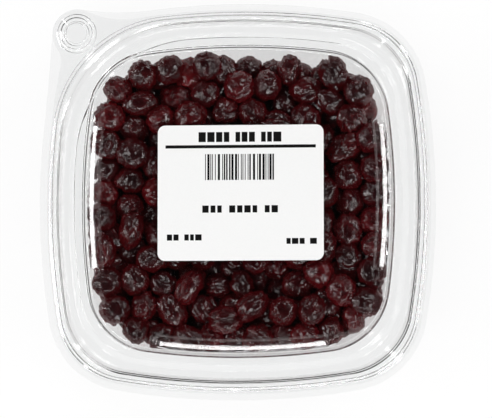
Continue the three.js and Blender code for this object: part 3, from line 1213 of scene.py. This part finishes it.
@dataclass
class Fruit:
    """Loose dried berries that fill the tub, in mm: shaken down, then each one wrinkled in its own way."""

    plan: Plan
    drying: Drying = Drying()
    core: Core = Core()
    seed: int = 23
    # The berries and the room they lie in
    count: int = 475
    radius: tuple[float, float] = (5.1, 6.2)
    closeness: float = 0.93
    floor: float = 1.9
    ceiling: float = 36.3
    headroom: float = 1.06
    wall_foot: Level = Level(49.1, 4.0, 25.0)
    wall_top: Level = Level(56.2, 34.4, 24.0)
    wall_overrun: float = 0.05
    clearance: float = 0.15
    elbow_room: float = 1.02
    # How they are shaken down
    start_low: tuple[float, float, float] = (-46, -46, 4)
    start_high: tuple[float, float, float] = (46, 46, 58)
    settle_steps: int = 200
    sink: float = 0.5
    spread: float = 0.009
    give: float = 0.3
    itself: float = 1e6
    # Which of them show
    cover_rise: float = 3.2
    cover_reach: float = 6.2
    wall_reach: float = 1.5
    wall_push: float = 0.01
    label_margin: float = 4.0
    top_from: float = 18.0
    second_from: float = 20.0
    floor_until: float = 9.0
    # How they are joined
    shade_spread: float = 0.13
    top_batch: int = 38
    side_batch: int = 150
    top_fineness: int = 4
    side_fineness: int = 3
    floor_fineness: int = 2

    def kept_in(self, points: np.ndarray, margin: Amount) -> np.ndarray:
        """Push points back inside the tub's wall.

        Args:
            points: an array of X, Y and Z.
            margin: how far each stays from the wall.

        Returns:
            The moved points.
        """
        foot, top = self.wall_foot, self.wall_top
        rise = (points[:, 2] - foot.height) / (top.height - foot.height)
        rise = np.clip(rise, -self.wall_overrun, 1 + self.wall_overrun)
        half = foot.half + (top.half - foot.half) * rise - self.clearance - margin
        corner = foot.corner + (top.corner - foot.corner) * rise - self.clearance - margin
        flat = points[:, :2] - (self.plan.shift, 0)
        for k in range(4):
            facing = np.array((math.cos(k * math.pi / 2), math.sin(k * math.pi / 2)))
            spoke = flat + facing * self.plan.bow_middle
            length = np.linalg.norm(spoke, axis=1)
            over = np.maximum(length - self.plan.bow_middle - half, 0)
            flat = flat - spoke * (over / length)[:, None]
        reach = self.plan.corner_reach(half, corner)
        outer = np.abs(flat) - reach[:, None]
        length = np.linalg.norm(outer, axis=1)
        over = np.where((outer > 0).all(axis=1), np.maximum(length - corner, 0), 0)
        flat = flat - np.sign(flat) * outer * (over / np.maximum(length, np.finfo(float).tiny))[:, None]
        return np.column_stack((flat + (self.plan.shift, 0), points[:, 2]))

    def settled(self, random: np.random.Generator) -> Bed:
        """Shake the berries down until they rest on each other and on the tub.

        Args:
            random: the seeded source of sizes, first places and kinds.

        Returns:
            The berries at rest.
        """
        radius = random.uniform(*self.radius, self.count)
        half_height = radius * self.drying.flatness
        low, high = self.floor + half_height, self.ceiling - half_height * self.headroom
        place = random.uniform(self.start_low, self.start_high, (self.count, 3))
        squash = np.array((1, 1, 1 / self.drying.flatness))
        reach = (radius[:, None] + radius[None, :]) * self.closeness
        for step in range(self.settle_steps):
            left = 1 - step / self.settle_steps
            place[:, 2] -= self.sink * left
            place[:, :2] *= 1 + self.spread * left
            apart = (place[:, None, :] - place[None, :, :]) * squash
            distance = np.linalg.norm(apart, axis=2) + np.eye(self.count) * self.itself
            push = np.maximum(reach - distance, 0) / distance * self.give
            place += (apart * push[:, :, None]).sum(axis=1) / squash
            place[:, 2] = np.clip(place[:, 2], low, high)
            place = self.kept_in(place, radius * self.elbow_room)
        kinds = random.choice([*Kind], self.count, p=[HABITS[kind].share for kind in Kind])
        return Bed(place, radius, kinds)

    def sorted_out(self, bed: Bed) -> tuple[np.ndarray, np.ndarray, np.ndarray]:
        """Sort the berries by where they show.

        Args:
            bed: the berries at rest.

        Returns:
            Which ones lie on top and clear of the label, which others show at the wall or near the top, and
            which others lie on the floor, each as an array of yes or no.
        """
        place, height = bed.place, bed.place[:, 2]
        apart = np.linalg.norm(place[:, None, :2] - place[None, :, :2], axis=2)
        higher = height[None, :] - height[:, None] > self.cover_rise
        cover = (higher & (apart < self.cover_reach)).sum(axis=1)
        pushed = place - self.kept_in(place, bed.radius * self.wall_reach)
        at_wall = np.linalg.norm(pushed, axis=1) > self.wall_push
        label_low, label_high = (np.array(corner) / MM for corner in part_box("label"))
        inside = (place > label_low + self.label_margin) & (place < label_high - self.label_margin)
        top = (cover <= 1) & (height > self.top_from) & ~inside[:, :2].all(axis=1)
        side = ~top & ((height > self.second_from) | at_wall)
        return top, side, ~top & ~side & (height < self.floor_until)

    def heap(
        self, name: str, chosen: np.ndarray, fineness: int, bed: Bed, random: np.random.Generator
    ) -> bpy.types.Object:
        """Join some of the berries into one piece.

        Args:
            name: the piece's name.
            chosen: the numbers of the berries.
            fineness: how often each ball's faces are divided.
            bed: all the berries at rest.
            random: the seeded source of wrinkles, turns and shades.

        Returns:
            The piece, with the crease and the shade of every point as attributes.
        """
        bm = bmesh.new()
        crease, shade = (bm.verts.layers.float.new(label) for label in ("crease", "shade"))
        for i in chosen:
            habit = HABITS[bed.kinds[i]]
            ball = bmesh.ops.create_icosphere(bm, subdivisions=fineness, radius=1.0)["verts"]
            points, depths = self.drying.shrunk(np.array([vert.co for vert in ball]), habit, random)
            points = points @ self.drying.turn(random).T * bed.radius[i] + bed.place[i]
            points = self.kept_in(points, 0)
            points[:, 2] = np.clip(points[:, 2], self.floor, self.ceiling)
            ripeness = np.clip(random.normal(habit.shade, self.shade_spread), 0, 1)
            for vert, point, depth in zip(ball, points * MM, depths):
                vert.co = point
                # The crease depth drives the painted shade in the skin's colour.
                vert[crease] = depth
                vert[shade] = ripeness
        piece = named_object(name, bm)
        piece.data.shade_smooth()
        return piece

    def heaps(
        self, name: str, chosen: np.ndarray, most: int, fineness: int, bed: Bed, random: np.random.Generator
    ) -> list[bpy.types.Object]:
        """Join berries into numbered pieces, with no more than a given number in each."""
        parts = np.array_split(chosen, math.ceil(len(chosen) / most))
        return [self.heap(f"{name}_{n}", part, fineness, bed, random) for n, part in enumerate(parts, 1)]

    def build(self) -> list[bpy.types.Object]:
        """Build the top layer kind by kind, then the berries at the wall and the floor, and the core.

        Returns:
            The fruit's pieces.
        """
        random = np.random.default_rng(self.seed)
        bed = self.settled(random)
        top, side, low = self.sorted_out(bed)
        LOG.info("%d berries on top, the highest at %.1f mm", top.sum(), bed.place[:, 2].max())
        pieces = []
        for kind in Kind:
            chosen = np.flatnonzero(top & (bed.kinds == kind))
            name = f"fruit_top_{kind.value}"
            pieces += self.heaps(name, chosen, self.top_batch, self.top_fineness, bed, random)
        seen = np.flatnonzero(side)
        pieces += self.heaps("fruit_side", seen, self.side_batch, self.side_fineness, bed, random)
        pieces.append(self.heap("fruit_floor", np.flatnonzero(low), self.floor_fineness, bed, random))
        pieces.append(self.core.build())
        return pieces


# The studio


@dataclass(frozen=True)
class Softbox:
    """One studio light: where it stands, how large it is, and how bright its face is."""

    azimuth: float
    elevation: float
    wide: float
    tall: float
    brightness: float
    distance: float = 0.9

    def build(self, name: str) -> None:
        """Hang the light, facing the pack.

        Args:
            name: the light's name.
        """
        lamp = bpy.data.lights.new(name, "AREA")
        lamp.shape = "RECTANGLE"
        lamp.size, lamp.size_y = self.wide, self.tall
        lamp.energy = self.brightness * math.pi * self.wide * self.tall
        stand = bpy.data.objects.new(name, lamp)
        turn, rise = math.radians(self.azimuth), math.radians(self.elevation)
        way = Vector((math.cos(turn) * math.cos(rise), math.sin(turn) * math.cos(rise), math.sin(rise)))
        stand.location = way * self.distance
        stand.rotation_euler = way.to_track_quat("Z", "Y").to_euler()
        bpy.context.scene.collection.objects.link(stand)


@dataclass
class Studio:
    """A pale lit table, a pale surround that is dark overhead, softboxes round the pack, and the camera.

    scale is the picture's, in pixels to a mm of what lies plane_height above the table. pack_middle is the
    pixel of the pack's middle, and lean is how far the camera's way is out of upright, in degrees.
    """

    scale: float = 2.77
    image: tuple[int, int] = (492, 418)
    pack_middle: tuple[float, float] = (236.85, 201.15)
    plane_height: float = 35.0
    lean: tuple[float, float] = (4.5, -4.6)
    distance: float = 1.0
    sensor: float = 36.0
    clip: tuple[float, float] = (0.05, 50.0)
    table_side: float = 8.0
    table_drop: float = 0.0002
    table_colour: Colour = (0.16, 0.16, 0.16)
    table_glow: float = 0.82
    fade: tuple[float, float] = (0.06, 0.4)
    glow: tuple[float, float] = (0.9, 0.01)
    boxes: tuple[Softbox, ...] = (
        Softbox(45, 44, 0.04, 0.6, 8),
        Softbox(135, 44, 0.04, 0.6, 8),
        Softbox(225, 44, 0.04, 0.6, 8),
        Softbox(315, 44, 0.04, 0.6, 8),
        Softbox(0, 37, 0.45, 0.08, 17),
        Softbox(180, 28, 0.5, 0.09, 17),
        Softbox(270, 37, 0.45, 0.08, 17),
        Softbox(70, 50, 0.26, 0.26, 6.5),
        Softbox(190, 54, 0.26, 0.26, 6.5),
        Softbox(310, 50, 0.26, 0.26, 6.5),
    )

    def table(self) -> None:
        """Lay the pale table, which glows a little as a light table does."""
        bm = bmesh.new()
        rectangle(bm, (self.table_side, self.table_side), (0, 0), -self.table_drop)
        floor = named_object("table", bm)
        material, bench = new_material("pale_table")
        top = bench.add(
            "ShaderNodeBsdfPrincipled",
            {
                "Base Color": (*self.table_colour, 1),
                "Roughness": 0.9,
                "Emission Color": (1, 1, 1, 1),
                "Emission Strength": self.table_glow,
            },
        )
        bench.add("ShaderNodeOutputMaterial", {"Surface": top.outputs[0]})
        floor.data.materials.append(material)

    def surround(self) -> None:
        """Light the world: pale at the horizon and dark overhead, where the camera hangs."""
        world = bpy.data.worlds.new("surround")
        world.use_nodes = True
        world.node_tree.nodes.clear()
        bench = Bench(world.node_tree)
        way = bench.add("ShaderNodeTexCoord").outputs["Generated"]
        rise = bench.add("ShaderNodeSeparateXYZ", {0: way}).outputs["Z"]
        strength = bench.stretched(rise, self.fade, self.glow)
        light = bench.add("ShaderNodeBackground", {"Color": (1, 1, 1, 1), "Strength": strength})
        bench.add("ShaderNodeOutputWorld", {"Surface": light.outputs[0]})
        bpy.context.scene.world = world

    def camera(self) -> None:
        """Hang the camera nearly straight above, with the pack where it is in the picture."""
        data = bpy.data.cameras.new("camera")
        camera = bpy.data.objects.new("camera", data)
        back = Vector((*(math.tan(math.radians(angle)) for angle in self.lean), 1)).normalized()
        up = (Vector((0, 1, 0)) - back * back.y).normalized()
        right = up.cross(back)
        aim = Vector(
            (
                (self.image[0] / 2 - self.pack_middle[0]) / self.scale,
                (self.pack_middle[1] - self.image[1] / 2) / self.scale,
                self.plane_height,
            )
        )
        rows = Matrix((right, up, back)).transposed().to_4x4()
        camera.matrix_world = Matrix.Translation(aim * MM + back * self.distance) @ rows
        data.sensor_width = self.sensor
        data.lens = self.sensor * self.distance / (self.image[0] / self.scale * MM)
        data.clip_start, data.clip_end = self.clip
        bpy.context.scene.collection.objects.link(camera)
        bpy.context.scene.camera = camera

    def build(self) -> None:
        """Set up the table, the surround, the lights and the camera."""
        self.camera()
        self.table()
        self.surround()
        for number, box in enumerate(self.boxes, 1):
            box.build(f"softbox_{number}")
        bpy.context.scene.view_settings.view_transform = "Standard"


def main() -> None:
    """Build the studio, the sheets, the label and the fruit, in that order."""
    logging.basicConfig(level=logging.INFO, format="%(name)s %(message)s")
    Studio().build()
    unevenness = unevenness_group()
    plan = Plan()
    finished(Tub(plan).build(), CLEAR_TUB.material(unevenness), "tub")
    finished(Lid(plan).build(), CLEAR_LID.material(unevenness), "lid")
    label = Label()
    finished(label.build_plate(), LABEL_STOCK.material(unevenness), "label")
    finished(label.build_print(), LABEL_INK.material(unevenness), "label")
    skin = BERRY_SKIN.material(fruit_skin_group())
    for piece in Fruit(plan).build():
        finished(piece, skin, "berries")


if __name__ == "__main__":
    main()
